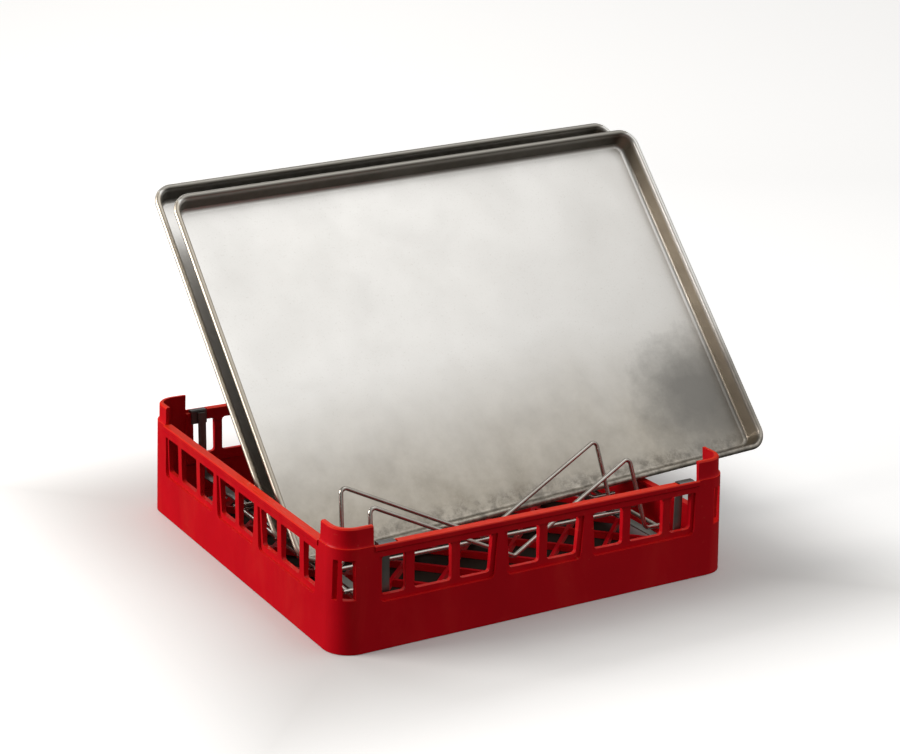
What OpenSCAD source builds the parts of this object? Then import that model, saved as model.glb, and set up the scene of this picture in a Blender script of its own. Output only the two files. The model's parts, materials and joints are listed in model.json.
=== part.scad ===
// Open-end warewashing rack with a bent-wire insert and two full-size sheet pans.
// Millimetres, +Z up. The origin is on the ground plane at the centre of the rack.
// The front wall faces -Y and the open end faces +X.

/* [Rack moulding] */
// Half of the outer footprint, measured at the ground
rack_half = 250; // [246:0.5:256]
// Outer corner radius of the rack
corner_r = 30; // [24:1:36]
// How much the outer faces lean in for each millimetre of height
draft = 0.03; // [0.01:0.005:0.04]
// Height of the closed skirt below the windows
skirt_h = 50; // [44:1:54]
// Height of the sill at the open end
end_sill_h = 57.5; // [50:0.5:58]
// Height of the top of the rails
rail_top = 114; // [108:1:120]
// Height of the rail section
rail_h = 13; // [11:1:18]
// Height of the stacking lugs on the corners
lug_top = 135; // [128:1:142]
// Length of each corner leg, from the outer face
corner_leg = 46; // [44:1:48]
// Wall thickness of the skirt
skirt_t = 4; // [3:0.5:5]
// Depth of the window walls, from outer face to inner face
window_wall_t = 8.5; // [8:0.5:10]

/* [Windows] */
// Height of the window bottoms
window_bottom = 58; // [55:1:62]
// Width of the thin bars between windows
bar_w = 10; // [8:1:12]
// Width of the wide mullions between window groups
mullion_w = 24; // [20:1:26]
// Width of the two windows beside the middle bar
window_a = 37.5; // [34:0.5:39]
// Width of the windows on the outer side of the mullions
window_b = 36.5; // [34:0.5:38]
// Width of the widest windows
window_c = 44; // [40:0.5:46]
// Width of the narrow windows beside the corners
window_d = 28; // [24:0.5:30]
// Depth of the shallow panels around the window groups
panel_depth = 2; // [1:0.5:3]

/* [Floor grid] */
// Height of the underside of the grid, flush with the foot of the skirt at 0
grid_bottom = 0; // [0:1:6]
// Height of the grid ribs
grid_h = 8; // [6:1:10]
// Spacing of the diagonal ribs
grid_pitch = 52; // [44:1:70]
// Width of one rib
rib_w = 4.5; // [3:0.5:6]

/* [Wire insert] */
// Wire diameter
wire_d = 5; // [4:0.5:5]
// Height of the centre of the divider feet
base_z = 42.5; // [42:0.5:42.5]
// Height of the divider peaks
peak_z = 119.2; // [110:0.2:124]
// Distance from the middle to a divider peak
peak_x = 166; // [150:1:168]
// Distance from the middle to a divider leg at its foot
foot_x = 176; // [170:1:180]
// Distance from the middle to the end of a divider foot
toe_x = 210; // [205:1:212]
// Lean of the two front dividers from upright
front_lean = 17; // [12:1:20]
// Peak position of the first front divider
divider_y1 = -165; // [-168:1:-160]
// Peak position of the second front divider
divider_y2 = -98; // [-104:1:-98]
// Peak position of the first leaning divider
divider_y3 = -15.4; // [-15.4:0.2:-12]
// Spacing of the pan slots
slot_pitch = 56; // [54:1:60]

/* [Sheet pans] */
// Outer length of a pan
pan_l = 655; // [640:1:660]
// Outer width of a pan
pan_w = 455; // [445:1:460]
// Depth of a pan
pan_depth = 25.4; // [22:0.2:26]
// Sheet thickness
sheet_t = 1.2; // [1:0.1:1.6]
// Outer corner radius of a pan
pan_r = 24; // [20:1:34]
// Diameter of the rolled rim bead
bead_d = 7; // [6:0.5:7.5]
// Lean of a pan from upright
pan_lean = 39.3; // [38.5:0.1:40]
// Roll of a pan in its own plane, up from the rods to the sill
pan_roll = 2.94; // [2.7:0.02:3.1]
// Lowest front corner of the front pan, along the rack
pan_x = -221; // [-224:1:-216]
// Lowest front corner of the front pan, across the rack
pan_y = -113; // [-115:0.5:-112.8]
// Height of the lowest front corner of the front pan
pan_z = 45.8; // [45.6:0.2:48]

/* [Hidden] */
$fn = 48;
clear = 0.3;
corner_c = rack_half - corner_r;
leg_end = rack_half - corner_leg;
rail_bottom = rail_top - rail_h;
panel_round = 7;
lip_out = 1.5;
lip_h = 7;
lip_slope = 1.5;
rail_bevel = 1;
under_slope = 3;
inner_step = 2;
cut_past = 5;
ledge_in = 0.5;
ledge_h = 4;
lug_inset = 2.2;
lug_t = 5;
lug_bevel = 1.5;
sill_ledge = 9;
sill_ledge_t = 4;
bend_r = 5.5;
bend_rise = 3;
bend_swell = 0.6;
bend_lap = 1.5;
side_rod_x = 200;
rod_z = base_z - wire_d;
strap_x = 185.5;
strap_w = 10;
strap_t = 2.5;
strap_z = rod_z - wire_d / 2 - strap_t;
saddle_x = 188.5;
saddle_w = 20;
saddle_t = 2;
saddle_top = rail_top + 0.8;
saddle_leg_bottom = rail_top - 16;
notch_from = 176.5;
notch_depth = 3;
notch_lip = 3;
notch_outer = rack_half - draft * rail_top + lip_out - notch_lip;
rail_inner = rack_half - draft * rail_top - window_wall_t - ledge_in;
strap_y = rail_inner - clear - saddle_t - strap_t;
bead_r = bead_d / 2;
bead_wall = 1.9;
wall_from = bead_d - 0.3;
floor_lap = 3;
pan_wall_lean = 12;
pan_fillet = 6;

// ---- rack moulding -------------------------------------------------------

// Distance of the outer face from the middle of the rack at height z
function outer_at(z) = rack_half - draft * z;

// Points of an arc, from angle a0 to angle a1
function arc(c, r, a0, a1, steps = 4) =
    [for (i = [0:steps]) c + r * [cos(a0 + (a1 - a0) * i / steps), sin(a0 + (a1 - a0) * i / steps)]];

// A wall section, given as [distance from the middle, height], run along X on the -Y side
module wall_run(length, section) {
    rotate([90, 0, 90])
        linear_extrude(height = length, center = true)
            polygon([for (p = section) [-p[0], p[1]]]);
}

// Turns a part made for the -Y side to the -X side
module to_left() {
    rotate([0, 0, -90]) children();
}

// Skirt: a thin drafted wall with a ledge along its top
function skirt_section(top) = [
    [outer_at(0), 0],
    [outer_at(top), top],
    [outer_at(top) - sill_ledge, top],
    [outer_at(top) - sill_ledge, top - sill_ledge_t],
    [outer_at(top) - skirt_t, top - sill_ledge_t - under_slope],
    [outer_at(0) - skirt_t, 0]
];

// Window wall: the band between skirt and rail, and the rail with its outer lip and inner ledge
window_wall_section = [
    [outer_at(skirt_h), skirt_h],
    [outer_at(rail_top - lip_h), rail_top - lip_h],
    [outer_at(rail_top) + lip_out, rail_top - lip_h + lip_slope],
    [outer_at(rail_top) + lip_out, rail_top - rail_bevel],
    [outer_at(rail_top) + lip_out - rail_bevel, rail_top],
    [rail_inner, rail_top],
    [rail_inner, rail_top - ledge_h],
    [outer_at(rail_top) - window_wall_t, rail_top - ledge_h - under_slope],
    [outer_at(skirt_h) - window_wall_t, skirt_h]
];

// One side of the window pattern: [near edge, far edge, slant of the near edge, slant of the far edge]
function half_pattern() =
    let (
        slant = 3,
        a0 = bar_w / 2,
        a1 = a0 + window_a,
        b0 = a1 + mullion_w,
        b1 = b0 + window_b,
        c0 = b1 + bar_w,
        c1 = c0 + window_c,
        d0 = c1 + bar_w
    )
    [[a0, a1, 0, slant], [b0, b1, -slant, 0], [c0, c1, 0, 0], [d0, d0 + window_d, 0, 0]];

// Outline of one window with rounded corners, wider at the top where its edges slant
function window_outline(w) =
    let (r = 4, z0 = window_bottom, z1 = rail_bottom)
    concat(
        arc([w[0] + r, z0 + r], r, 180, 270),
        arc([w[1] - r, z0 + r], r, 270, 360),
        arc([w[1] + w[3] - r, z1 - r], r, 0, 90),
        arc([w[0] + w[2] + r, z1 - r], r, 90, 180)
    );

// Outline of one recessed panel, round at its two lower corners
function panel_outline(x0, x1, slant0, slant1) =
    let (r = panel_round, z0 = skirt_h + 1.5, z1 = rail_bottom)
    concat(
        arc([x0 + r, z0 + r], r, 180, 270),
        arc([x1 - r, z0 + r], r, 270, 360),
        [[x1 + slant1, z1], [x0 + slant0, z1]]
    );

// Cuts an outline, drawn in the plane of the -Y wall, from depth d0 to depth d1
module wall_cut(outline, d0, d1) {
    translate([0, -d0, 0])
        rotate([90, 0, 0])
            linear_extrude(height = d1 - d0)
                polygon(outline);
}

// A whole wall with windows, as it stands on the -Y side
module window_wall() {
    mullion_in = bar_w / 2 + window_a;
    mullion_mid = mullion_in + mullion_w / 2;
    rib_half = 7;
    slant = 3;
    panel_end = leg_end - 5;
    panel_floor = outer_at(rail_bottom) - panel_depth;
    wall_inside = rack_half - 3 * window_wall_t;
    wall_outside = rack_half + cut_past;
    difference() {
        wall_run(2 * leg_end, window_wall_section);
        for (side = [0, 1])
            mirror([side, 0, 0])
                for (w = half_pattern())
                    wall_cut(window_outline(w), wall_inside, wall_outside);
        wall_cut(panel_outline(-mullion_mid + rib_half, mullion_mid - rib_half, -slant, slant),
            panel_floor, wall_outside);
        for (side = [0, 1])
            mirror([side, 0, 0])
                wall_cut(panel_outline(mullion_mid + rib_half, panel_end, -slant, 0),
                    panel_floor, wall_outside);
    }
}

// Clears the inner part of the rail where the insert's saddles hook into it
module rail_notches() {
    notch_l = 40;
    difference() {
        children();
        for (side = [-1, 1])
            translate([side * (notch_from + notch_l / 2) - notch_l / 2, -notch_outer, rail_top - notch_depth])
                cube([notch_l, notch_outer - rail_inner + lip_h, lug_top]);
    }
}

// Corner section, from the ground to the top of the rail
function corner_section() = [
    [outer_at(0), 0],
    [outer_at(rail_top), rail_top],
    [outer_at(rail_top) - skirt_t - inner_step, rail_top],
    [outer_at(skirt_h) - skirt_t - inner_step, skirt_h],
    [outer_at(0) - skirt_t, 0]
];

// Stacking lug section, on top of the corner
function lug_section() = [
    [outer_at(rail_top) - 0.5, rail_top - 1],
    [outer_at(rail_top) - lug_inset, rail_top + 2],
    [outer_at(lug_top) - lug_inset, lug_top - lug_bevel],
    [outer_at(lug_top) - lug_inset - lug_bevel, lug_top],
    [outer_at(lug_top) - lug_inset - lug_t, lug_top],
    [outer_at(rail_top) - skirt_t - inner_step, rail_top]
];

// Sweeps a section round the corner and along both of its legs
module corner_sweep(section) {
    run = corner_c - leg_end;
    translate([-corner_c, -corner_c, 0])
        rotate([0, 0, 180])
            rotate_extrude(angle = 90)
                polygon([for (p = section) [p[0] - corner_c, p[1]]]);
    translate([-corner_c + run / 2, 0, 0])
        wall_run(run, section);
    to_left()
        translate([corner_c - run / 2, 0, 0])
            wall_run(run, section);
}

// The front left corner: upright with two slots, and its stacking lug
module corner() {
    slot_h = rail_bottom - window_bottom;
    slot_w = 12;
    slot_from = 12;
    groove_w = 5;
    groove_from = 13;
    through = 35;
    sill = window_bottom + 1;
    color("firebrick")
        difference() {
            union() {
                corner_sweep(corner_section());
                corner_sweep(lug_section());
            }
            translate([-rack_half + slot_from, -rack_half - cut_past, sill])
                cube([slot_w, through, slot_h]);
            translate([-rack_half - cut_past, -rack_half + groove_from, sill])
                cube([through, groove_w, slot_h]);
        }
}

module skirt_front() {
    color("firebrick")
        wall_run(2 * leg_end, skirt_section(skirt_h));
}

module skirt_rear() {
    mirror([0, 1, 0]) skirt_front();
}

module skirt_left() {
    to_left() skirt_front();
}

module open_end_sill() {
    color("firebrick")
        mirror([1, 0, 0])
            to_left()
                wall_run(2 * leg_end, skirt_section(end_sill_h));
}

module window_wall_front() {
    color("firebrick")
        rail_notches() window_wall();
}

module window_wall_rear() {
    mirror([0, 1, 0]) window_wall_front();
}

module window_wall_left() {
    color("firebrick")
        to_left() window_wall();
}

module corner_front_left() {
    corner();
}

module corner_front_right() {
    mirror([1, 0, 0]) corner();
}

module corner_rear_left() {
    mirror([0, 1, 0]) corner();
}

module corner_rear_right() {
    mirror([1, 0, 0]) mirror([0, 1, 0]) corner();
}

// Plan of the rack's inside, square with round corners
module inner_plan(half, r) {
    square([2 * half, 2 * (half - r)], center = true);
    square([2 * (half - r), 2 * half], center = true);
    for (sx = [-1, 1])
        for (sy = [-1, 1])
            translate([sx * (half - r), sy * (half - r)]) circle(r = r);
}

// Open diagonal lattice inside a plain frame
module floor_grid() {
    half = outer_at(grid_bottom + grid_h) - skirt_t - 2 * clear;
    inner_r = corner_r - skirt_t;
    frame_w = 7;
    reach = ceil(half * sqrt(2) / grid_pitch);
    color("firebrick")
        translate([0, 0, grid_bottom]) {
            linear_extrude(height = grid_h)
                difference() {
                    inner_plan(half, inner_r);
                    inner_plan(half - frame_w, inner_r - frame_w);
                }
            linear_extrude(height = grid_h)
                intersection() {
                    inner_plan(half - frame_w / 2, inner_r - frame_w / 2);
                    for (turn = [-45, 45])
                        rotate(turn)
                            for (i = [-reach:reach])
                                translate([0, i * grid_pitch])
                                    square([3 * half, rib_w], center = true);
                }
        }
}

// ---- wire insert ---------------------------------------------------------

// A straight length of round wire between two points
module wire(a, b, d = wire_d) {
    run = b - a;
    translate(a)
        rotate([0, acos(run[2] / norm(run)), atan2(run[1], run[0])])
            cylinder(h = norm(run), d = d, $fn = 32);
}

// How far a corner of a flat path turns
function turn_at(a, b, c) =
    let (u = b - a, w = c - b)
    atan2(u[0] * w[1] - u[1] * w[0], u * w);

// Length of straight that a bend of radius r takes up on each side of its corner
function bend_run(a, b, c, r) = r * tan(abs(turn_at(a, b, c)) / 2);

// The bent wire at corner b of a flat path, a little swollen where it is formed
module wire_bend(a, b, c, r) {
    turn = turn_at(a, b, c);
    u = (b - a) / norm(b - a);
    to_centre = sign(turn) * [-u[1], u[0]];
    centre = b - u * bend_run(a, b, c, r) + r * to_centre;
    start = atan2(-to_centre[1], -to_centre[0]);
    translate([centre[0], centre[1], 0])
        rotate([0, 0, min(start, start + turn)])
            rotate_extrude(angle = abs(turn))
                translate([r, 0]) circle(d = wire_d + bend_swell, $fn = 32);
}

// A wire through the points of a flat path, bent at each corner with radius r
module flat_wire(path, r) {
    last = len(path) - 1;
    ends = [0, last];
    runs = [
        for (i = [0:last])
            i == ends[0] || i == ends[1] ? 0 : bend_run(path[i - 1], path[i], path[i + 1], r) - bend_lap
    ];
    for (i = [0:last - 1]) {
        u = (path[i + 1] - path[i]) / norm(path[i + 1] - path[i]);
        a = path[i] + u * runs[i];
        b = path[i + 1] - u * runs[i + 1];
        wire([a[0], a[1], 0], [b[0], b[1], 0]);
    }
    for (i = [1:last - 1])
        wire_bend(path[i - 1], path[i], path[i + 1], r);
}

// One divider: toes, legs, two peaks and the low middle, in a plane that leans back
module divider(y, lean) {
    // The bends round the peaks off, so their corners stand a little higher
    rise = (peak_z + bend_rise - base_z) / cos(lean);
    right = [[peak_x, rise], [foot_x, 0], [toe_x, 0]];
    left = [for (i = [2:-1:0]) [-right[i][0], right[i][1]]];
    color("silver")
        translate([0, foot_y(y, lean), base_z])
            rotate([90 - lean, 0, 0])
                flat_wire(concat(left, [[0, 0]], right), bend_r);
}

function leaning_y(i) = divider_y3 + i * slot_pitch;
function foot_y(y, lean) = y - (peak_z - base_z) * tan(lean);

module divider_1() {
    divider(divider_y1, front_lean);
}

module divider_2() {
    divider(divider_y2, front_lean);
}

module divider_3() {
    divider(leaning_y(0), pan_lean);
}

module divider_4() {
    divider(leaning_y(1), pan_lean);
}

module divider_5() {
    divider(leaning_y(2), pan_lean);
}

module divider_6() {
    divider(leaning_y(3), pan_lean);
}

// A long rod under the divider feet
module side_rod(x) {
    overhang = 6;
    color("silver")
        wire([x, foot_y(divider_y1, front_lean) - overhang, rod_z],
            [x, foot_y(leaning_y(3), pan_lean) + overhang, rod_z]);
}

module side_rod_left() {
    side_rod(-side_rod_x);
}

module side_rod_right() {
    side_rod(side_rod_x);
}

// A rod across the insert, between the two side rods
module cross_rod(y) {
    reach = side_rod_x - wire_d / 2;
    color("silver")
        wire([-reach, y, rod_z], [reach, y, rod_z]);
}

module cross_rod_front() {
    cross_rod(foot_y(divider_y2, front_lean));
}

module cross_rod_middle() {
    cross_rod(foot_y(leaning_y(1), pan_lean));
}

module cross_rod_rear() {
    cross_rod(foot_y(leaning_y(3), pan_lean));
}

// Flat strap: under the rods, and up inside the front and rear walls to the saddles
module hanger_strap(x) {
    up_h = rail_top - 2 - strap_z;
    color("silver")
        translate([x - strap_w / 2, 0, strap_z]) {
            translate([0, -strap_y - strap_t, 0])
                cube([strap_w, 2 * (strap_y + strap_t), strap_t]);
            for (y = [-strap_y - strap_t, strap_y])
                translate([0, y, 0])
                    cube([strap_w, strap_t, up_h]);
        }
}

module hanger_strap_left() {
    hanger_strap(-strap_x);
}

module hanger_strap_right() {
    hanger_strap(strap_x);
}

// Saddle: a block that sits in the notch of the front rail, with a leg down the inside
module saddle() {
    outer = notch_outer - clear;
    inner = rail_inner - clear;
    seat = rail_top - notch_depth + clear;
    bend = 1.2;
    color("dimgray")
        wall_run(saddle_w, [
            [outer, seat],
            [outer, saddle_top - bend],
            [outer - bend, saddle_top],
            [inner - saddle_t + bend, saddle_top],
            [inner - saddle_t, saddle_top - bend],
            [inner - saddle_t, saddle_leg_bottom],
            [inner, saddle_leg_bottom],
            [inner, seat]
        ]);
}

module saddle_front_left() {
    translate([-saddle_x, 0, 0]) saddle();
}

module saddle_front_right() {
    translate([saddle_x, 0, 0]) saddle();
}

module saddle_rear_left() {
    mirror([0, 1, 0]) saddle_front_left();
}

module saddle_rear_right() {
    mirror([0, 1, 0]) saddle_front_right();
}

// ---- sheet pans ----------------------------------------------------------

// Centre of the fillet between wall and floor, as [in from the rim, height below the rim plane]
function pan_fillet_centre() =
    let (
        drop = pan_depth - sheet_t - pan_fillet - bead_r,
        run = (pan_fillet + drop * sin(pan_wall_lean)) / cos(pan_wall_lean)
    )
    [wall_from + run, -pan_depth + sheet_t + pan_fillet];

// Section of the pan's side wall, from inside the bead down to the edge of the floor
function pan_side_section() =
    let (
        c = pan_fillet_centre(),
        a = pan_wall_lean,
        top = [wall_from, -bead_r]
    )
    concat(
        [top],
        arc(c, pan_fillet, 180 + a, 270, 5),
        [[c[0] + floor_lap, -pan_depth + sheet_t], [c[0] + floor_lap, -pan_depth]],
        arc(c, pan_fillet + sheet_t, 270, 180 + a, 5),
        [top - [sheet_t / cos(a), 0]]
    );

module pan_side_profile() {
    difference() {
        union() {
            polygon(pan_side_section());
            translate([bead_r, -bead_r]) circle(r = bead_r, $fn = 32);
        }
        translate([bead_r, -bead_r]) circle(r = bead_r - bead_wall, $fn = 32);
    }
}

module rim_wire_profile() {
    translate([bead_r, -bead_r]) circle(r = bead_r - bead_wall - 0.1, $fn = 32);
}

// Runs a side profile all round a pan that lies flat, with its rim plane at z = 0
module round_the_pan() {
    for (side = [0, 1])
        translate([side * pan_l, side * pan_w, 0])
            rotate([0, 0, side * 180]) {
                translate([pan_r, 0, 0])
                    rotate([90, 0, 90])
                        linear_extrude(height = pan_l - 2 * pan_r) children();
                translate([0, pan_w - pan_r, 0])
                    rotate([90, 0, 0])
                        linear_extrude(height = pan_w - 2 * pan_r) children();
                translate([pan_r, pan_r, 0])
                    rotate([0, 0, 180])
                        rotate_extrude(angle = 90)
                            translate([pan_r, 0]) mirror([1, 0]) children();
                translate([pan_l - pan_r, pan_r, 0])
                    rotate([0, 0, 270])
                        rotate_extrude(angle = 90)
                            translate([pan_r, 0]) mirror([1, 0]) children();
            }
}

// Stands a flat pan in its slot; slot 0 is the front one
module in_slot(slot) {
    translate([pan_x, pan_y + slot * slot_pitch, pan_z])
        rotate([90 - pan_lean, 0, 0])
            rotate([0, 0, pan_roll])
                children();
}

module sheet_pan(slot) {
    inset = pan_fillet_centre()[0] + floor_lap / 2;
    floor_l = pan_l - 2 * inset;
    floor_w = pan_w - 2 * inset;
    floor_r = pan_r - inset;
    color("lightgray")
        in_slot(slot) {
            round_the_pan() pan_side_profile();
            translate([pan_l / 2, pan_w / 2, -pan_depth])
                linear_extrude(height = sheet_t) {
                    square([floor_l, floor_w - 2 * floor_r], center = true);
                    square([floor_l - 2 * floor_r, floor_w], center = true);
                    for (sx = [-1, 1])
                        for (sy = [-1, 1])
                            translate([sx * (floor_l / 2 - floor_r), sy * (floor_w / 2 - floor_r)])
                                circle(r = floor_r);
                }
        }
}

module rim_wire(slot) {
    color("gray")
        in_slot(slot)
            round_the_pan() rim_wire_profile();
}

module front_pan() {
    sheet_pan(0);
}

module front_pan_rim_wire() {
    rim_wire(0);
}

module rear_pan() {
    sheet_pan(1);
}

module rear_pan_rim_wire() {
    rim_wire(1);
}

floor_grid();
skirt_front();
skirt_rear();
skirt_left();
open_end_sill();
window_wall_front();
window_wall_rear();
window_wall_left();
corner_front_left();
corner_front_right();
corner_rear_left();
corner_rear_right();
divider_1();
divider_2();
divider_3();
divider_4();
divider_5();
divider_6();
side_rod_left();
side_rod_right();
cross_rod_front();
cross_rod_middle();
cross_rod_rear();
hanger_strap_left();
hanger_strap_right();
saddle_front_left();
saddle_front_right();
saddle_rear_left();
saddle_rear_right();
front_pan();
front_pan_rim_wire();
rear_pan();
rear_pan_rim_wire();
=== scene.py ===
import json
import math

import bmesh
import bpy
from mathutils import Matrix, Vector, noise


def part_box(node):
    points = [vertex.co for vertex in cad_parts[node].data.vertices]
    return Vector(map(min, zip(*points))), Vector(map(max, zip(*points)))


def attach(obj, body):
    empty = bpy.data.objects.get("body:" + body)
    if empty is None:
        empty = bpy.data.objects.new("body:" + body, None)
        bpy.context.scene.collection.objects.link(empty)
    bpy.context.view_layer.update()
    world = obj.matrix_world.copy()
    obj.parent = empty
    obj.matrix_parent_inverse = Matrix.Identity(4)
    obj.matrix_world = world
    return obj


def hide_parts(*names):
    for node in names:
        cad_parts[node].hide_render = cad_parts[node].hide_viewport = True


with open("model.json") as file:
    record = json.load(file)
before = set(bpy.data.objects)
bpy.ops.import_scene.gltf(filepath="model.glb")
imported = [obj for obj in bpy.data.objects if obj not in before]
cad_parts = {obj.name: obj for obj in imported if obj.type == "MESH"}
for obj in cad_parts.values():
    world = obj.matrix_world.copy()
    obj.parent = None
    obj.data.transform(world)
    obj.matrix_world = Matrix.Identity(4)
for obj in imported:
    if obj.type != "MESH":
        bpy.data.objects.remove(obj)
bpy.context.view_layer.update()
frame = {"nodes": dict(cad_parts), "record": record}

MM = 0.001
NODES = frame["nodes"]


# ---- mesh helpers --------------------------------------------------------


def new_object(name, bm, smooth_angle=35):
    mesh = bpy.data.meshes.new(name)
    bm.to_mesh(mesh)
    bm.free()
    obj = bpy.data.objects.new(name, mesh)
    bpy.context.scene.collection.objects.link(obj)
    shade(obj, smooth_angle)
    return obj


def shade(obj, angle):
    """Smooth shading with edges sharper than the angle kept sharp."""
    mesh = obj.data
    mesh.shade_smooth()
    bm = bmesh.new()
    bm.from_mesh(mesh)
    limit = math.radians(angle)
    for e in bm.edges:
        sharp = len(e.link_faces) != 2 or e.calc_face_angle(0) > limit
        e.smooth = not sharp
    bm.to_mesh(mesh)
    bm.free()


def round_edges(obj, width, angle):
    """Rounds every edge that is sharper than the angle."""
    bevel = obj.modifiers.new("edge_rounding", "BEVEL")
    bevel.width = width
    bevel.segments = 3
    bevel.limit_method = "ANGLE"
    bevel.angle_limit = math.radians(angle)


def unit(angle):
    """A flat unit vector at an angle in degrees."""
    return Vector((math.cos(math.radians(angle)), math.sin(math.radians(angle))))


def arc_points(centre, r, start, end, steps):
    """Points on an arc round a centre, between two angles in degrees."""
    angles = [math.radians(start + (end - start) * i / steps) for i in range(steps + 1)]
    return [(centre[0] + r * math.cos(a), centre[1] + r * math.sin(a)) for a in angles]


def rounded_path(points, r, steps):
    """A flat path through points with every inner corner rounded to radius r."""
    out = [Vector(points[0])]
    for a, b, c in zip(points, points[1:], points[2:]):
        a, b, c = Vector(a), Vector(b), Vector(c)
        u, w = (b - a).normalized(), (c - b).normalized()
        turn = math.atan2(u.x * w.y - u.y * w.x, u.dot(w))
        run = r * math.tan(abs(turn) / 2)
        spoke = Vector((u.y, -u.x)) * math.copysign(1, turn)
        centre = b - u * run - spoke * r
        for i in range(steps + 1):
            cos_t, sin_t = math.cos(turn * i / steps), math.sin(turn * i / steps)
            turned = (spoke.x * cos_t - spoke.y * sin_t, spoke.x * sin_t + spoke.y * cos_t)
            out.append(centre + r * Vector(turned))
    out.append(Vector(points[-1]))
    return out


def subdivide(path, step):
    """The same path with extra points, so that none are further apart than the step."""
    out = [path[0]]
    for a, b in zip(path, path[1:]):
        n = max(1, math.ceil((b - a).length / step))
        out += [a.lerp(b, i / n) for i in range(1, n + 1)]
    return out


def tangent(path, i):
    """Direction of a path at one of its points."""
    return (path[min(i + 1, len(path) - 1)] - path[max(i - 1, 0)]).normalized()


def bridge(bm, a, b):
    """A closed band of faces between two loops of points."""
    n = len(a)
    for k in range(n):
        bm.faces.new((a[k], a[(k + 1) % n], b[(k + 1) % n], b[k]))


def skin(bm, rings):
    """A closed solid through rings of points, capped at both ends."""
    for a, b in zip(rings, rings[1:]):
        bridge(bm, a, b)
    bm.faces.new(list(reversed(rings[0])))
    bm.faces.new(rings[-1])


def circle_section(r, sides=20):
    angles = [2 * math.pi * i / sides for i in range(sides)]
    return [(r * math.cos(a), r * math.sin(a)) for a in angles]


def round_wire(bm, path, r, up):
    """A round wire along a path, with slightly chamfered, cut ends."""
    first, last = path[0], path[-1]
    chamfer = 0.25 * r
    cut_r = 0.78 * r
    start = first + (path[1] - first).normalized() * chamfer
    end = last - (last - path[-2]).normalized() * chamfer
    points = [first, start] + path[1:-1] + [end, last]
    rings = []
    for i, p in enumerate(points):
        along = tangent(points, i)
        side = along.cross(up).normalized()
        top = side.cross(along).normalized()
        section = circle_section(cut_r if i in (0, len(points) - 1) else r)
        rings.append([bm.verts.new(p + side * s + top * h) for s, h in section])
    skin(bm, rings)


def weld_bead(bm, centre, size, seed):
    """A small lumpy weld where two wires cross, its half sizes in mm."""
    for v in bmesh.ops.create_icosphere(bm, subdivisions=3, radius=1.0)["verts"]:
        d = v.co.copy()
        lump = 1 + 0.14 * noise.noise(d * 2.1 + Vector((seed, 0, 0)))
        v.co = centre + Vector([c * (s * MM) for c, s in zip(d, size)]) * lump


# ---- where the pans stand, in mm and degrees -----------------------------

PAN_L, PAN_W, PAN_DEPTH, SHEET_T = 655, 455, 25.4, 1.2
PAN_R, BEAD_R, FILLET = 24, 3.5, 6
WALL_LEAN, PAN_LEAN, PAN_ROLL = 12, 39.3, 2.94
PAN_X, PAN_Y, PAN_Z, SLOT_PITCH = -221, -113, 45.8, 56
FLOOR_TOP = SHEET_T - PAN_DEPTH


def pan_matrix(slot):
    """A pan's own frame in metres: x along it, y up its floor, z out of its rim plane."""
    return (
        Matrix.Translation(Vector((PAN_X, PAN_Y + slot * SLOT_PITCH, PAN_Z)) * MM)
        @ Matrix.Rotation(math.radians(90 - PAN_LEAN), 4, "X")
        @ Matrix.Rotation(math.radians(PAN_ROLL), 4, "Z")
    )


# ---- materials -----------------------------------------------------------

# Sockets of a Mix node that mixes colours; its other kinds' sockets have the same names.
MIX_FACTOR, MIX_A, MIX_B, MIX_RESULT = 0, 6, 7, 2


def result(source):
    """The output that a node is used for; a socket is its own."""
    if isinstance(source, bpy.types.NodeSocket):
        return source
    if source.type == "MIX":
        return source.outputs[MIX_RESULT]
    for name in ("Fac", "Value", "Result"):
        if name in source.outputs:
            return source.outputs[name]
    return source.outputs[0]


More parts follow.
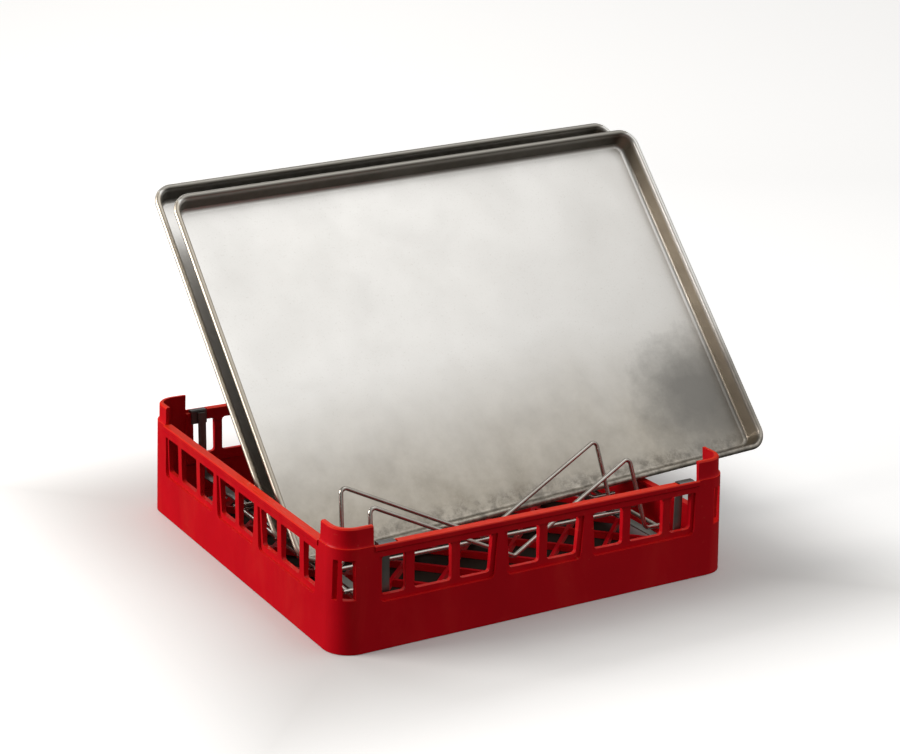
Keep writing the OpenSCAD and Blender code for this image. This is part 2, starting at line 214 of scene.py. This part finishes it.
class Nodes:
    """A material's node tree, with short names for building it."""

    def __init__(self, name):
        self.mat = bpy.data.materials.new(name)
        self.mat.use_nodes = True
        self.tree = self.mat.node_tree
        self.tree.nodes.clear()
        out = self.add("ShaderNodeOutputMaterial")
        self.bsdf = self.add("ShaderNodeBsdfPrincipled")
        self.link(self.bsdf, "BSDF", out, "Surface")
        self.coord = self.add("ShaderNodeTexCoord")

    def add(self, kind, **values):
        n = self.tree.nodes.new(kind)
        for k, v in values.items():
            setattr(n, k, v)
        return n

    def link(self, a, out, b, inp):
        self.tree.links.new(a.outputs[out], b.inputs[inp])

    def feed(self, value, socket):
        """Links a node or an output to an input, or sets a plain value on it."""
        if isinstance(value, (bpy.types.Node, bpy.types.NodeSocket)):
            self.tree.links.new(result(value), socket)
        else:
            socket.default_value = value

    def shader(self, values):
        """Sets or links the shader's inputs by name."""
        for name, value in values.items():
            self.feed(value, self.bsdf.inputs[name])

    def mapping(self, scale, rotation=(0, 0, 0)):
        m = self.add("ShaderNodeMapping")
        m.inputs["Scale"].default_value = scale
        m.inputs["Rotation"].default_value = rotation
        self.link(self.coord, "Object", m, "Vector")
        return m

    def noise(self, scale, detail=4, rough=0.55, distort=0.0, mapping=None):
        n = self.add("ShaderNodeTexNoise")
        n.inputs["Scale"].default_value = scale
        n.inputs["Detail"].default_value = detail
        n.inputs["Roughness"].default_value = rough
        n.inputs["Distortion"].default_value = distort
        if mapping is None:
            self.link(self.coord, "Object", n, "Vector")
        else:
            self.link(mapping, "Vector", n, "Vector")
        return n

    def ramp(self, source, stops):
        """Turns a value into another one, by straight lines between (from, to) stops."""
        r = self.add("ShaderNodeValToRGB")
        e = r.color_ramp.elements
        while len(e) > 1:
            e.remove(e[-1])
        e[0].position = stops[0][0]
        e[0].color = (*[stops[0][1]] * 3, 1)
        for position, value in stops[1:]:
            e.new(position).color = (*[value] * 3, 1)
        self.feed(source, r.inputs["Fac"])
        return r

    def xyz(self, source, output):
        """The three components of a vector output."""
        split = self.add("ShaderNodeSeparateXYZ")
        self.link(source, output, split, "Vector")
        return split.outputs

    def distance_along(self, row):
        """Position along one axis of a frame, from a row of the frame's inverse matrix."""
        d = self.add("ShaderNodeVectorMath", operation="DOT_PRODUCT")
        self.link(self.coord, "Object", d, 0)
        d.inputs[1].default_value = row[:3]
        return self.math("ADD", d, row[3])

    def span(self, value, start, end, top=1.0):
        """Rises smoothly from 0 at start to top at end; start may lie above end."""
        r = self.add("ShaderNodeMapRange", interpolation_type="SMOOTHSTEP")
        r.inputs["From Min"].default_value = min(start, end)
        r.inputs["From Max"].default_value = max(start, end)
        r.inputs["To Min"].default_value = 0.0 if start < end else top
        r.inputs["To Max"].default_value = top if start < end else 0.0
        self.feed(value, r.inputs["Value"])
        return r

    def mix(self, factor, a, b):
        """Mixes two colours, each a Mix node or a plain colour."""
        m = self.add("ShaderNodeMix", data_type="RGBA")
        self.feed(factor, m.inputs[MIX_FACTOR])
        for value, i in ((a, MIX_A), (b, MIX_B)):
            self.feed((*value, 1) if isinstance(value, tuple) else value, m.inputs[i])
        return m

    def blotches(self, texture, light, dark):
        """Two colours in soft blotches."""
        return self.mix(self.ramp(texture, [(0.35, 0), (0.70, 1)]), light, dark)

    def math(self, operation, a, b=0.0):
        m = self.add("ShaderNodeMath", operation=operation)
        self.feed(a, m.inputs[0])
        self.feed(b, m.inputs[1])
        return m

    def roughness(self, texture, low, high):
        """Lets a texture vary the shader's roughness between two values."""
        r = self.add("ShaderNodeMapRange")
        r.inputs["To Min"].default_value = low
        r.inputs["To Max"].default_value = high
        self.feed(texture, r.inputs["Value"])
        self.link(r, "Result", self.bsdf, "Roughness")

    def bump(self, height, strength, distance, chain=None):
        b = self.add("ShaderNodeBump")
        b.inputs["Strength"].default_value = strength
        b.inputs["Distance"].default_value = distance
        self.feed(height, b.inputs["Height"])
        if chain is not None:
            self.link(chain, "Normal", b, "Normal")
        return b


def red_plastic():
    """Moulded polypropylene: waxy red with a flow mottle, a painted orange highlight on upward
    faces high up, and scratches.
    """
    m = Nodes("red_plastic")
    flow = m.ramp(m.noise(9, 5, 0.6, 0.4), [(0.3, 0), (0.72, 1)])
    base = m.mix(flow, (0.52, 0.0008, 0.008), (0.62, 0.002, 0.010))
    chalk_map = m.mapping((16, 16, 5))
    chalk = m.ramp(m.noise(1.0, 6, 0.68, 0.5, chalk_map), [(0.50, 0), (0.76, 0.5)])
    chalky = (0.68, 0.026, 0.020)
    base = m.mix(chalk, base, chalky)
    # Painted highlight: upward faces high on the rack are tinted orange, as if lit from above.
    upward = m.span(m.xyz(m.add("ShaderNodeNewGeometry"), "Normal")["Z"], 0.35, 0.95, 0.85)
    high_up = m.span(m.xyz(m.coord, "Object")["Z"], 0.03, 0.10)
    painted_top_highlight = (0.80, 0.030, 0.004)
    base = m.mix(m.math("MULTIPLY", upward, high_up), base, painted_top_highlight)
    scratch_map = m.mapping((140, 18, 260), (0.2, 0.5, 0.3))
    scratch = m.ramp(m.noise(1.0, 3, 0.6, 0.8, scratch_map), [(0.66, 0), (0.72, 1)])
    scuffed = m.math("MULTIPLY", scratch, m.ramp(m.noise(6, 2), [(0.48, 0), (0.62, 1)]))
    base = m.mix(scuffed, base, (0.62, 0.045, 0.03))
    m.roughness(m.noise(22, 6, 0.65), 0.30, 0.52)
    grain = m.bump(m.noise(900, 3, 0.5), 0.12, 0.0004)
    sink = m.bump(m.noise(14, 2, 0.4), 0.30, 0.0025, grain)
    lines = m.bump(scuffed, 0.15, 0.0003, sink)
    m.link(lines, "Normal", m.bsdf, "Normal")
    m.shader(
        {
            "Base Color": base,
            "IOR": 1.49,
            "Specular IOR Level": 0.16,
            "Subsurface Weight": 0.08,
            "Subsurface Radius": (0.006, 0.0008, 0.0008),
            "Subsurface Scale": 0.6,
        }
    )
    return m.mat


def dark_reflection_patch(m, centre):
    """Painted reflection: how much of a dark reflection is painted round a point in metres: most
    in the middle, with a ragged edge.
    """
    away = m.add("ShaderNodeVectorMath", operation="DISTANCE")
    m.link(m.coord, "Object", away, "Vector")
    away.inputs[1].default_value = centre
    ragged = m.math("MULTIPLY", m.math("SUBTRACT", m.noise(26, 6, 0.7), 0.5), 0.07)
    reach = m.math("DIVIDE", m.math("ADD", away, ragged), 0.12)
    return m.ramp(reach, [(0.20, 0.90), (0.44, 0.68), (0.84, 0)])


def pan_aluminium(name, slot, dark_reflection_at=None):
    """Rolled aluminium sheet: warm satin with speckle and scratches, and with painted shade and
    painted reflections: darker low down, a dark band at the lower edge, dark walls and beads.

    The marks are placed by metres along the pan in that slot, up its floor and above its rim.
    """
    m = Nodes(name)
    pan = pan_matrix(slot)
    along, across, above = (m.distance_along(row) for row in pan.inverted()[:3])

    cloud = m.noise(6.5, 5, 0.62, 0.5)
    drift = m.math("MULTIPLY", m.math("SUBTRACT", cloud, 0.5), 0.55)
    # Painted shade: the floor's colour darkens towards its lower edge and lightens towards its
    # top, its border blotched by noise.
    level = m.math("ADD", m.span(across, 0.0, 0.27), drift)
    low = m.blotches(m.noise(21, 6, 0.66), (0.52, 0.48, 0.415), (0.37, 0.335, 0.28))
    haze = m.ramp(cloud, [(0.38, 0), (0.70, 1)])
    high = m.mix(haze, (0.84, 0.83, 0.81), (0.80, 0.788, 0.765))
    base = m.mix(m.ramp(level, [(0.0, 0), (0.85, 1)]), low, high)
    speckle = m.ramp(m.noise(420, 4, 0.65), [(0.58, 0), (0.72, 0.35)])
    base = m.mix(speckle, base, (0.58, 0.55, 0.51))

    # Painted shade: a ragged dark band along the floor's lower edge.
    lower_edge_shade = m.ramp(m.noise(75, 7, 0.75, 0.2), [(0.42, 0), (0.60, 0.75)])
    by_lower_edge = m.span(across, 0.040, 0.018)
    base = m.mix(m.math("MULTIPLY", lower_edge_shade, by_lower_edge), base, (0.17, 0.155, 0.135))
    # Painted reflection: a dark patch on the front pan's floor stands in for a dark reflection
    # there.
    if dark_reflection_at is not None:
        patch = dark_reflection_patch(m, pan @ Vector((*dark_reflection_at, FLOOR_TOP * MM)))
        base = m.mix(patch, base, (0.235, 0.228, 0.215))

    # Painted reflection: the inner top wall is painted dark grey, standing in for the dark
    # reflection in it.
    wall = m.math("MULTIPLY", m.span(above, -0.0235, -0.019), m.span(above, -0.0015, -0.0075))
    top_wall = m.math("MULTIPLY", wall, m.span(across, 0.435, 0.444))
    painted_top_wall_reflection = m.blotches(m.noise(18, 5, 0.6), (0.20, 0.188, 0.165), (0.13, 0.12, 0.10))
    base = m.mix(top_wall, base, painted_top_wall_reflection)
    # Painted reflection: the inner right wall is painted a darker brownish tone, standing in for
    # the reflection in it.
    right_wall = m.math("MULTIPLY", wall, m.span(along, 0.632, 0.642))
    painted_right_wall_reflection = m.blotches(m.noise(15, 5, 0.6), (0.46, 0.395, 0.31), (0.35, 0.30, 0.235))
    base = m.mix(right_wall, base, painted_right_wall_reflection)
    # Painted shade: the top bead is painted dark grey.
    top_bead = m.span(across, 0.4465, 0.4485)
    base = m.mix(top_bead, base, (0.40, 0.385, 0.35))
    # Painted shade: the left bead is painted a warm mid grey, lighter than the top bead.
    left_bead = m.span(along, 0.0095, 0.0065)
    base = m.mix(left_bead, base, (0.60, 0.545, 0.46))

    m.shader({"Base Color": base, "Metallic": 1.0})
    m.roughness(m.noise(12, 6, 0.6, 0.3), 0.32, 0.50)
    scratch_map = m.mapping((9, 210, 150), (0.5, 0.25, 0.95))
    scratch = m.ramp(m.noise(1.0, 2, 0.5, 0.6, scratch_map), [(0.70, 0), (0.74, 1)])
    fine = m.bump(m.noise(700, 3, 0.5), 0.05, 0.0002)
    wave = m.bump(m.noise(7, 2, 0.4), 0.12, 0.004, fine)
    cut = m.bump(scratch, 0.10, 0.0002, wave)
    m.link(cut, "Normal", m.bsdf, "Normal")
    return m.mat


def steel(name, light, dark, smoothest, roughest):
    """Stainless wire or strip, with draw marks, water stains and handling wear."""
    m = Nodes(name)
    stain = m.ramp(m.noise(34, 5, 0.6, 0.3), [(0.3, 0), (0.8, 1)])
    m.shader({"Base Color": m.mix(stain, light, dark), "Metallic": 1.0})
    m.roughness(m.noise(90, 5, 0.6), smoothest, roughest)
    draw_marks = m.bump(m.noise(300, 3, 0.6), 0.08, 0.0003)
    m.link(draw_marks, "Normal", m.bsdf, "Normal")
    return m.mat


MATERIALS = {
    "red_plastic": red_plastic(),
    "pan_aluminium": pan_aluminium("pan_aluminium", 1),
    "steel_wire": steel("steel_wire", (0.56, 0.535, 0.50), (0.40, 0.365, 0.325), 0.17, 0.30),
    "steel_strap": steel("steel_strap", (0.27, 0.28, 0.27), (0.19, 0.20, 0.19), 0.34, 0.5),
    "saddle_steel": steel("saddle_steel", (0.22, 0.22, 0.22), (0.15, 0.15, 0.15), 0.3, 0.46),
    "rim_steel": steel("rim_steel", (0.55, 0.55, 0.54), (0.42, 0.42, 0.41), 0.3, 0.5),
}

# Where the front pan's painted dark reflection lies, in metres along and up its floor.
FRONT_PAN_DARK_REFLECTION_AT = (0.600, 0.088)
FRONT_PAN_SHEET = pan_aluminium("front_pan_aluminium", 0, FRONT_PAN_DARK_REFLECTION_AT)


def paint(obj, slot):
    obj.data.materials.clear()
    obj.data.materials.append(MATERIALS[slot])


# ---- rack ----------------------------------------------------------------

RACK_NODES = frame["record"]["behaviour"]["bodies"]["rack"]
# Points of the joined solids that lie closer than this, in metres, are one point.
SEAM = 6e-5
NEARLY_FLAT = math.radians(0.6)


def rack_shell():
    """The rack as the one moulding it is: the CAD solids joined, with moulded edge rounding."""
    parts = []
    for name in RACK_NODES:
        bm = bmesh.new()
        bm.from_mesh(NODES[name].data)
        bmesh.ops.remove_doubles(bm, verts=bm.verts, dist=1e-6)
        mesh = bpy.data.meshes.new("part_" + name)
        bm.to_mesh(mesh)
        bm.free()
        part = bpy.data.objects.new("part_" + name, mesh)
        bpy.context.scene.collection.objects.link(part)
        parts.append(part)
    group = bpy.data.collections.new("rack_parts")
    for p in parts[1:]:
        group.objects.link(p)
    join = parts[0].modifiers.new("join", "BOOLEAN")
    join.operation = "UNION"
    join.solver = "EXACT"
    join.operand_type = "COLLECTION"
    join.collection = group
    dg = bpy.context.evaluated_depsgraph_get()
    mesh = bpy.data.meshes.new_from_object(parts[0].evaluated_get(dg))
    mesh.name = "rack_shell"
    for p in parts:
        bpy.data.objects.remove(p)
    bpy.data.collections.remove(group)
    bm = bmesh.new()
    bm.from_mesh(mesh)
    bmesh.ops.remove_doubles(bm, verts=bm.verts, dist=SEAM)
    bmesh.ops.dissolve_degenerate(bm, edges=bm.edges, dist=SEAM)
    bmesh.ops.dissolve_limit(bm, angle_limit=NEARLY_FLAT, verts=bm.verts, edges=bm.edges)
    bmesh.ops.recalc_face_normals(bm, faces=bm.faces)
    bm.to_mesh(mesh)
    bm.free()
    obj = bpy.data.objects.new("rack_shell", mesh)
    bpy.context.scene.collection.objects.link(obj)
    round_edges(obj, width=0.0009, angle=38)
    even = obj.modifiers.new("even_shading", "WEIGHTED_NORMAL")
    even.keep_sharp = True
    paint(obj, "red_plastic")
    return obj


shell = rack_shell()
shade(shell, 30)
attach(shell, "rack")
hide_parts(*RACK_NODES)


# ---- wire insert, in mm --------------------------------------------------

WIRE_R = 2.5
BASE_Z = 42.5
PEAK_Z = 119.2
PEAK_CORNER = PEAK_Z + 3
PEAK_X, FOOT_X, TOE_X = 166, 176, 210
BEND_R = 5.5
BEND_STEPS = 14
DIVIDER_STEP, ROD_STEP, STRAP_STEP = 14, 20, 12
SIDE_ROD_X = 200
ROD_Z = BASE_Z - 2 * WIRE_R
FRONT_LEAN = 17
DIVIDERS = [
    (-165, FRONT_LEAN),
    (-98, FRONT_LEAN),
    (-15.4, PAN_LEAN),
    (40.6, PAN_LEAN),
    (96.6, PAN_LEAN),
    (152.6, PAN_LEAN),
]
DIVIDER_WELD = (2.3, 2.1, 1.5)
ROD_WELD = (1.7, 2.7, 2.2)
ROD_WELD_INSET = 0.8


def foot_y(y, lean):
    return y - (PEAK_Z - BASE_Z) * math.tan(math.radians(lean))


def divider_piece(index, y, lean):
    """A bent wire with two peaks, welded to the side rods under its feet."""
    rise = (PEAK_CORNER - BASE_Z) / math.cos(math.radians(lean))
    half = [(PEAK_X, rise), (FOOT_X, 0), (TOE_X, 0)]
    corners = [(-x, s) for x, s in reversed(half)] + [(0, 0)] + half
    flat = subdivide(rounded_path(corners, BEND_R, BEND_STEPS), DIVIDER_STEP)
    sin_l, cos_l = math.sin(math.radians(lean)), math.cos(math.radians(lean))
    y0 = foot_y(y, lean)
    path = [Vector((p.x, y0 + p.y * sin_l, BASE_Z + p.y * cos_l)) * MM for p in flat]
    bm = bmesh.new()
    round_wire(bm, path, WIRE_R * MM, Vector((0, cos_l, -sin_l)))
    for side in (-1, 1):
        centre = Vector((side * SIDE_ROD_X, y0, (BASE_Z + ROD_Z) / 2)) * MM
        weld_bead(bm, centre, DIVIDER_WELD, index * 3.7 + side)
    name = f"divider_{index}"
    obj = new_object(name + "_wire", bm)
    paint(obj, "steel_wire")
    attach(obj, "wire_insert")
    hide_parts(name)


for i, (y, lean) in enumerate(DIVIDERS, 1):
    divider_piece(i, y, lean)


def rod_piece(node):
    """A straight wire as long as its CAD solid, with a weld at both ends if it lies across."""
    lo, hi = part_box(node)
    mid = (lo + hi) / 2
    long_axis = 0 if hi.x - lo.x > hi.y - lo.y else 1
    a, b = mid.copy(), mid.copy()
    a[long_axis], b[long_axis] = lo[long_axis], hi[long_axis]
    bm = bmesh.new()
    round_wire(bm, subdivide([a, b], ROD_STEP * MM), WIRE_R * MM, Vector((0, 0, 1)))
    if long_axis == 0:
        inset = ROD_WELD_INSET * MM
        for k, x in enumerate((a.x + inset, b.x - inset)):
            weld_bead(bm, Vector((x, mid.y, mid.z)), ROD_WELD, 9 + k + mid.y * 40)
    obj = new_object(node + "_wire", bm)
    paint(obj, "steel_wire")
    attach(obj, "wire_insert")
    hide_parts(node)


for side in ("left", "right"):
    rod_piece("side_rod_" + side)
for place in ("front", "middle", "rear"):
    rod_piece("cross_rod_" + place)

STRAP_T = 2.5
STRAP_BEND_R = 3.2
STRAP_EDGE_R = 0.7


def strap_section(width, thickness):
    """A flat strip's section with rounded long edges."""
    e = STRAP_EDGE_R * MM
    x, y = width / 2 - e, thickness / 2 - e
    section = []
    for cx, cy, start in ((x, y, 0), (-x, y, 90), (-x, -y, 180), (x, -y, 270)):
        section += arc_points((cx, cy), e, start, start + 90, 3)
    return section


def strap_piece(node):
    """Flat strip bent up at both ends."""
    lo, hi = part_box(node)
    half = STRAP_T * MM / 2
    corners = [
        (lo.y + half, hi.z),
        (lo.y + half, lo.z + half),
        (hi.y - half, lo.z + half),
        (hi.y - half, hi.z),
    ]
    flat = subdivide(rounded_path(corners, STRAP_BEND_R * MM, 8), STRAP_STEP * MM)
    path = [Vector(((lo.x + hi.x) / 2, p.x, p.y)) for p in flat]
    section = strap_section(hi.x - lo.x, STRAP_T * MM)
    bm = bmesh.new()
    rings = []
    for i, p in enumerate(path):
        out = Vector((1, 0, 0)).cross(tangent(path, i)).normalized()
        rings.append([bm.verts.new(p + Vector((s, 0, 0)) + out * h) for s, h in section])
    skin(bm, rings)
    bmesh.ops.recalc_face_normals(bm, faces=bm.faces)
    obj = new_object(node + "_strip", bm)
    paint(obj, "steel_strap")
    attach(obj, "wire_insert")
    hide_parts(node)


for side in ("left", "right"):
    strap_piece("hanger_strap_" + side)

for end in ("front", "rear"):
    for side in ("left", "right"):
        saddle = NODES[f"saddle_{end}_{side}"]
        paint(saddle, "saddle_steel")
        round_edges(saddle, width=0.0005, angle=30)


# ---- sheet pans, in mm ---------------------------------------------------

CORNER_STEPS = 16
SHORT_SIDE_STEPS, LONG_SIDE_STEPS = 28, 40
CURL_END = 318
FLOOR_LOOPS = 16
RIM_WIRE_R = BEAD_R - SHEET_T - 0.12
RIM_WIRE_SIDES = 14


def pan_section():
    """The sheet's inner and outer side from the curl's end to the floor, as (inset, height)."""
    a = WALL_LEAN
    slant = unit(a)
    down = Vector((slant.y, -slant.x))
    bead = Vector((BEAD_R, -BEAD_R))
    top = bead + BEAD_R * slant
    fillet_z = -PAN_DEPTH + SHEET_T + FILLET
    run = (top.y - (fillet_z - FILLET * math.sin(math.radians(a)))) / -down.y
    centre = top + down * run + slant * FILLET
    inner = arc_points(bead, BEAD_R, CURL_END, a, 26)
    inner += arc_points(centre, FILLET, 180 + a, 270, 9)
    outer = arc_points(centre, FILLET + SHEET_T, 270, 180 + a, 9)
    outer += arc_points(bead, BEAD_R - SHEET_T, a, CURL_END, 22)
    return inner, outer


def rim_places():
    """Places round the rim, each a point one corner radius inside it and its outward direction."""
    r = PAN_R
    corners = [
        (PAN_L - r, r, -90),
        (PAN_L - r, PAN_W - r, 0),
        (r, PAN_W - r, 90),
        (r, r, 180),
    ]
    places = []
    for k, (x, y, start) in enumerate(corners):
        here = Vector((x, y))
        for i in range(CORNER_STEPS + 1):
            places.append((here, unit(start + 90 * i / CORNER_STEPS)))
        next_x, next_y, outward = corners[(k + 1) % 4]
        n = LONG_SIDE_STEPS if k % 2 else SHORT_SIDE_STEPS
        for i in range(1, n):
            places.append((here.lerp(Vector((next_x, next_y)), i / n), unit(outward)))
    return places


RIM = rim_places()


def rim_loop(bm, inset, z):
    """One closed loop of points round a pan, at an inset from its rim."""
    return [bm.verts.new((*(p + outward * (PAN_R - inset)), z)) for p, outward in RIM]


def warp(x, y, slot):
    """Slight buckling of the pan's floor, nothing at its edge."""
    u, v = x / PAN_L, y / PAN_W
    edge = min(1, 8 * min(u, 1 - u, v, 1 - v))
    soft = edge * edge * (3 - 2 * edge)
    w = 0.55 * math.sin(math.pi * u) * math.sin(math.pi * v)
    w += 0.30 * noise.noise(Vector((u * 3.1, v * 2.4, 7.3 + slot * 4.1)))
    return soft * w


def close_floor(bm, edge_loop, inset, z, slot):
    """Fills a pan's floor with nested loops that close on its long axis."""
    half_l, half_w = PAN_L / 2 - inset, PAN_W / 2 - inset
    last = edge_loop
    for s in range(1, FLOOR_LOOPS + 1):
        f = s / FLOOR_LOOPS
        f = f * (2 - f)
        loop = []
        for v in edge_loop:
            x, y = v.co.x - PAN_L / 2, v.co.y - PAN_W / 2
            new_x = math.copysign(min(abs(x), half_l), x) * (1 - f * half_w / half_l) + PAN_L / 2
            new_y = y * (1 - f) + PAN_W / 2
            loop.append(bm.verts.new((new_x, new_y, z + warp(new_x, new_y, slot))))
        bridge(bm, last, loop)
        last = loop


def stand_in_slot(bm, slot):
    """Turns a finished pan mesh from mm in the pan's own frame to its place in the rack."""
    bmesh.ops.recalc_face_normals(bm, faces=bm.faces)
    bmesh.ops.scale(bm, vec=(MM, MM, MM), verts=bm.verts)
    bmesh.ops.transform(bm, matrix=pan_matrix(slot), verts=bm.verts)


def pan_sheet(slot, body, node):
    """The pressed sheet with its curled rim."""
    inner, outer = pan_section()
    bm = bmesh.new()
    inner_loops = [rim_loop(bm, x, z) for x, z in inner]
    outer_loops = [rim_loop(bm, x, z) for x, z in outer]
    for loops in (inner_loops, outer_loops):
        for a, b in zip(loops, loops[1:]):
            bridge(bm, a, b)
    bridge(bm, outer_loops[-1], inner_loops[0])
    floor_inset = inner[-1][0]
    close_floor(bm, inner_loops[-1], floor_inset, FLOOR_TOP, slot)
    close_floor(bm, outer_loops[0], floor_inset, -PAN_DEPTH, slot)
    bmesh.ops.remove_doubles(bm, verts=bm.verts, dist=0.02)
    stand_in_slot(bm, slot)
    obj = new_object(node + "_sheet", bm, 50)
    if slot == 0:
        obj.data.materials.append(FRONT_PAN_SHEET)
    else:
        paint(obj, "pan_aluminium")
    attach(obj, body)
    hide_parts(node)


def rim_core(slot, body, node):
    """The wire that the rim is curled round."""
    bm = bmesh.new()
    loops = []
    for i in range(RIM_WIRE_SIDES):
        t = 2 * math.pi * i / RIM_WIRE_SIDES
        inset, z = BEAD_R + RIM_WIRE_R * math.cos(t), -BEAD_R + RIM_WIRE_R * math.sin(t)
        loops.append(rim_loop(bm, inset, z))
    for a, b in zip(loops, loops[1:] + loops[:1]):
        bridge(bm, a, b)
    stand_in_slot(bm, slot)
    wire = new_object(node + "_rim_core", bm)
    paint(wire, "rim_steel")
    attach(wire, body)
    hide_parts(node + "_rim_wire")


for slot, pan in enumerate(("front_pan", "rear_pan")):
    pan_sheet(slot, pan, pan)
    rim_core(slot, pan, pan)


# ---- camera, stage and light, in metres ----------------------------------

CAMERA_AT = (-1.0689, -1.8557, 0.8599)
CAMERA_RIGHT = Vector((0.8638, -0.5035, 0.0167)).normalized()
CAMERA_UP = Vector((0.1355, 0.2639, 0.9549))


def place_camera():
    data = bpy.data.cameras.new("camera")
    data.sensor_width = 36.0
    data.lens = 77.99
    data.clip_start, data.clip_end = 0.05, 50
    camera = bpy.data.objects.new("camera", data)
    bpy.context.scene.collection.objects.link(camera)
    bpy.context.scene.camera = camera
    right = CAMERA_RIGHT
    up = (CAMERA_UP - right * CAMERA_UP.dot(right)).normalized()
    turn = Matrix((right, up, right.cross(up))).transposed()
    camera.matrix_world = Matrix.Translation(CAMERA_AT) @ turn.to_4x4()


FLOOR_NEAR, FLOOR_FAR, SWEEP_R, BACKDROP_TOP = -4.0, 2.2, 1.2, 5.0
FLOOR_COLUMNS = (-6, -2, 2, 6)
# The floor lies this far under the rack's lower edge.
FLOOR_DROP = 0.0005


def floor_material():
    """Glows outwards from the rack, so that its shadow fades out, and has painted shade under it:
    a near-black colour within 0.2 m of the middle.
    """
    m = Nodes("studio_floor")
    place = m.xyz(m.coord, "Object")
    from_middle = m.math("MAXIMUM", *(m.math("ABSOLUTE", place[axis]) for axis in "XY"))
    # Painted shade: the floor's colour is near black under the rack.
    under = m.span(from_middle, 0.20, 0.25)
    m.shader(
        {
            "Base Color": m.mix(under, (0.035, 0.026, 0.02), (0.75, 0.75, 0.75)),
            "Emission Color": (1, 1, 1, 1),
            "Emission Strength": m.span(from_middle, 0.25, 0.55, 0.5),
            "Roughness": 0.9,
            "Specular IOR Level": 0.1,
        }
    )
    return m.mat


def stage_mesh():
    """A pale floor that curves up behind the object, square to the camera."""
    profile = [(FLOOR_NEAR, 0.0), (FLOOR_FAR, 0.0)]
    profile += arc_points((FLOOR_FAR, SWEEP_R), SWEEP_R, -80, 0, 8)
    profile += [(FLOOR_FAR + SWEEP_R, BACKDROP_TOP)]
    across = Vector((CAMERA_RIGHT.x, CAMERA_RIGHT.y, 0)).normalized()
    away = Vector((-across.y, across.x, 0))
    bm = bmesh.new()
    rows = []
    for d, z in profile:
        middle = away * d + Vector((0, 0, z - FLOOR_DROP))
        rows.append([bm.verts.new(middle + across * s) for s in FLOOR_COLUMNS])
    for a, b in zip(rows, rows[1:]):
        for k in range(len(FLOOR_COLUMNS) - 1):
            bm.faces.new((a[k], a[k + 1], b[k + 1], b[k]))
    obj = new_object("studio_floor", bm, 60)
    obj.data.materials.append(floor_material())
    obj.visible_diffuse = False
    obj.visible_glossy = False


def area_light(name, location, target, size, power, colour=(1, 1, 1)):
    data = bpy.data.lights.new(name, "AREA")
    data.shape = "RECTANGLE"
    data.size, data.size_y = size
    data.energy = power
    data.color = colour
    obj = bpy.data.objects.new(name, data)
    obj.location = location
    obj.rotation_mode = "QUATERNION"
    obj.rotation_quaternion = (Vector(target) - Vector(location)).to_track_quat("-Z", "Y")
    bpy.context.scene.collection.objects.link(obj)


BRIGHTEST = Vector((0.36, -0.34, 0.87)).normalized()
SKY = [
    (0.0, (0.035, 0.032, 0.028)),
    (0.45, (0.05, 0.046, 0.04)),
    (0.62, (0.12, 0.11, 0.10)),
    (0.80, (0.36, 0.35, 0.33)),
    (0.92, (0.68, 0.67, 0.65)),
    (1.0, (0.74, 0.73, 0.71)),
]


def studio_world():
    """A dark studio with one broad bright area overhead, in front and to the right."""
    world = bpy.data.worlds.new("studio")
    bpy.context.scene.world = world
    world.use_nodes = True
    t = world.node_tree
    t.nodes.clear()
    out = t.nodes.new("ShaderNodeOutputWorld")
    background = t.nodes.new("ShaderNodeBackground")
    coord = t.nodes.new("ShaderNodeTexCoord")
    dot = t.nodes.new("ShaderNodeVectorMath")
    dot.operation = "DOT_PRODUCT"
    dot.inputs[1].default_value = BRIGHTEST
    ramp = t.nodes.new("ShaderNodeValToRGB")
    elements = ramp.color_ramp.elements
    elements[0].color = (*SKY[0][1], 1)
    elements[1].color = (*SKY[-1][1], 1)
    for position, colour in SKY[1:-1]:
        elements.new(position).color = (*colour, 1)
    half = t.nodes.new("ShaderNodeMath")
    half.operation = "MULTIPLY_ADD"
    half.inputs[1].default_value = 0.5
    half.inputs[2].default_value = 0.5
    t.links.new(coord.outputs["Generated"], dot.inputs[0])
    t.links.new(dot.outputs["Value"], half.inputs[0])
    t.links.new(half.outputs[0], ramp.inputs[0])
    t.links.new(ramp.outputs["Color"], background.inputs["Color"])
    t.links.new(background.outputs[0], out.inputs[0])


stage_mesh()
area_light("top_box", (0.75, -0.55, 2.3), (0.1, 0.0, 0.2), (1.5, 1.5), 5)
area_light("left_box", (-2.3, 0.9, 1.0), (0, 0, 0.1), (1.4, 1.2), 64, (1.0, 0.95, 0.90))
area_light("back_strip", (-0.2, 2.3, 1.9), (0, 0, 0.15), (2.2, 0.5), 16)
studio_world()
place_camera()

view = bpy.context.scene.view_settings
view.view_transform = "Standard"
view.look = "None"
view.exposure = 0.0
